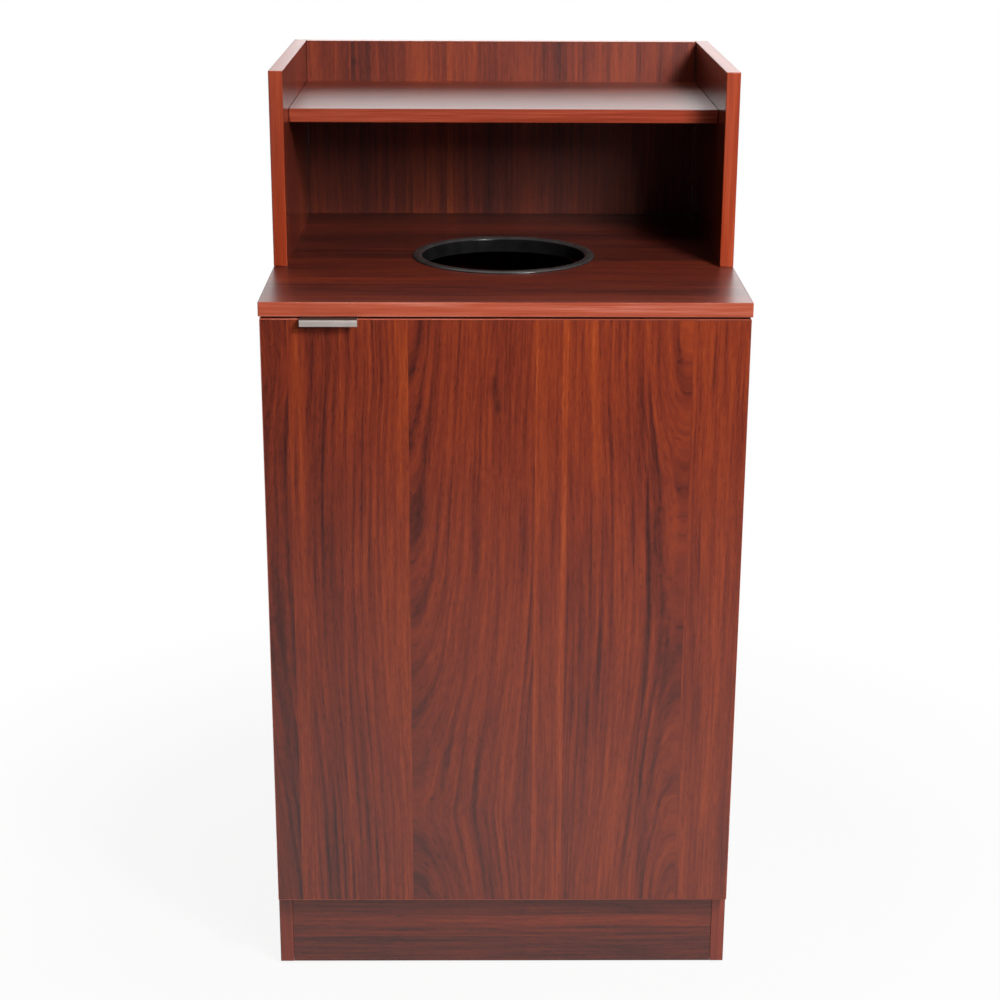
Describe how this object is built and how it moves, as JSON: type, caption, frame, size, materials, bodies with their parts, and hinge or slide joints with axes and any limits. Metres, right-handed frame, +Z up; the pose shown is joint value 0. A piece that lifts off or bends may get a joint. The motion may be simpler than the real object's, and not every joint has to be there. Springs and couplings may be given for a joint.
{
  "type": "waste receptacle enclosure",
  "caption": "Floor-standing laminated cabinet that hides a waste can, with a hinged front door, a deck with a round drop hole and a tray shelf held in a low hutch.",
  "frame": {"origin": "on the floor, under the centre of the object's box", "axes": "+Z up, the door faces -Y, +X is to the right of someone who faces the door"},
  "size_m": [0.6, 0.6216, 1.1723],
  "materials": {
    "laminate": "red-brown wood-grain laminate on board, semi-gloss",
    "edge_band": "red-brown wood-grain edge band, semi-gloss",
    "black_plastic": "moulded black plastic, satin",
    "bumper": "clear soft plastic, satin",
    "dowel": "plain beech",
    "satin_nickel": "satin nickel",
    "plated_steel": "nickel-plated steel"
  },
  "bodies": {
    "cabinet": {"left_side_panel": "laminate", "right_side_panel": "laminate", "back_panel": "laminate", "bottom_panel": "laminate", "plinth_board": "laminate", "deck_panel": "laminate", "hutch_left_panel": "laminate", "hutch_right_panel": "laminate", "hutch_back_panel": "laminate", "tray_shelf": "laminate", "left_side_edge_band": "edge_band", "right_side_edge_band": "edge_band", "deck_edge_band": "edge_band", "hutch_left_edge_band": "edge_band", "hutch_right_edge_band": "edge_band", "hutch_back_edge_band": "edge_band", "shelf_edge_band": "edge_band", "drop_hole_ring": "black_plastic", "glide_front_left": "black_plastic", "glide_front_right": "black_plastic", "glide_rear_left": "black_plastic", "glide_rear_right": "black_plastic", "hutch_dowel_front_left": "dowel", "hutch_dowel_front_right": "dowel", "hutch_dowel_rear_left": "dowel", "hutch_dowel_rear_right": "dowel", "deck_cam_front_left": "plated_steel", "deck_cam_front_right": "plated_steel", "deck_cam_rear_left": "plated_steel", "deck_cam_rear_right": "plated_steel", "shelf_cam_front_left": "plated_steel", "shelf_cam_front_right": "plated_steel", "shelf_cam_rear_left": "plated_steel", "shelf_cam_rear_right": "plated_steel", "lower_hinge_arm": "plated_steel", "upper_hinge_arm": "plated_steel", "lower_hinge_plate": "plated_steel", "upper_hinge_plate": "plated_steel", "lower_plate_screw_low": "plated_steel", "lower_plate_screw_high": "plated_steel", "upper_plate_screw_low": "plated_steel", "upper_plate_screw_high": "plated_steel"},
    "outer_links": {"lower_hinge_outer_link": "plated_steel", "upper_hinge_outer_link": "plated_steel"},
    "inner_links": {"lower_hinge_inner_link": "plated_steel", "upper_hinge_inner_link": "plated_steel"},
    "door": {"door_panel": "laminate", "door_edge_band": "edge_band", "door_bumper_upper": "bumper", "door_bumper_lower": "bumper", "door_pull": "satin_nickel", "pull_screw_left": "satin_nickel", "pull_screw_right": "satin_nickel", "lower_hinge_cup": "plated_steel", "upper_hinge_cup": "plated_steel", "lower_cup_screw_low": "plated_steel", "lower_cup_screw_high": "plated_steel", "upper_cup_screw_low": "plated_steel", "upper_cup_screw_high": "plated_steel"}
  },
  "joints": [
    {"name": "outer_link_swing", "type": "hinge", "parent": "cabinet", "child": "outer_links", "pos_m": [0.2625, -0.27095, 0.8009], "axis": [0, 0, 1], "range_deg": [-31, 0]},
    {"name": "door_swing", "type": "hinge", "parent": "outer_links", "child": "door", "pos_m": [0.2875, -0.28305, 0.8009], "axis": [0, 0, 1], "range_deg": [0, 125.78]},
    {"name": "inner_link_swing", "type": "hinge", "parent": "cabinet", "child": "inner_links", "pos_m": [0.2715, -0.28865, 0.8009], "axis": [0, 0, 1], "range_deg": [-43.3, 0]}
  ],
  "couplings": [
    {"joint": "outer_link_swing", "follows": "door_swing", "ratio": -0.24471},
    {"joint": "inner_link_swing", "follows": "door_swing", "ratio": -0.3426}
  ]
}
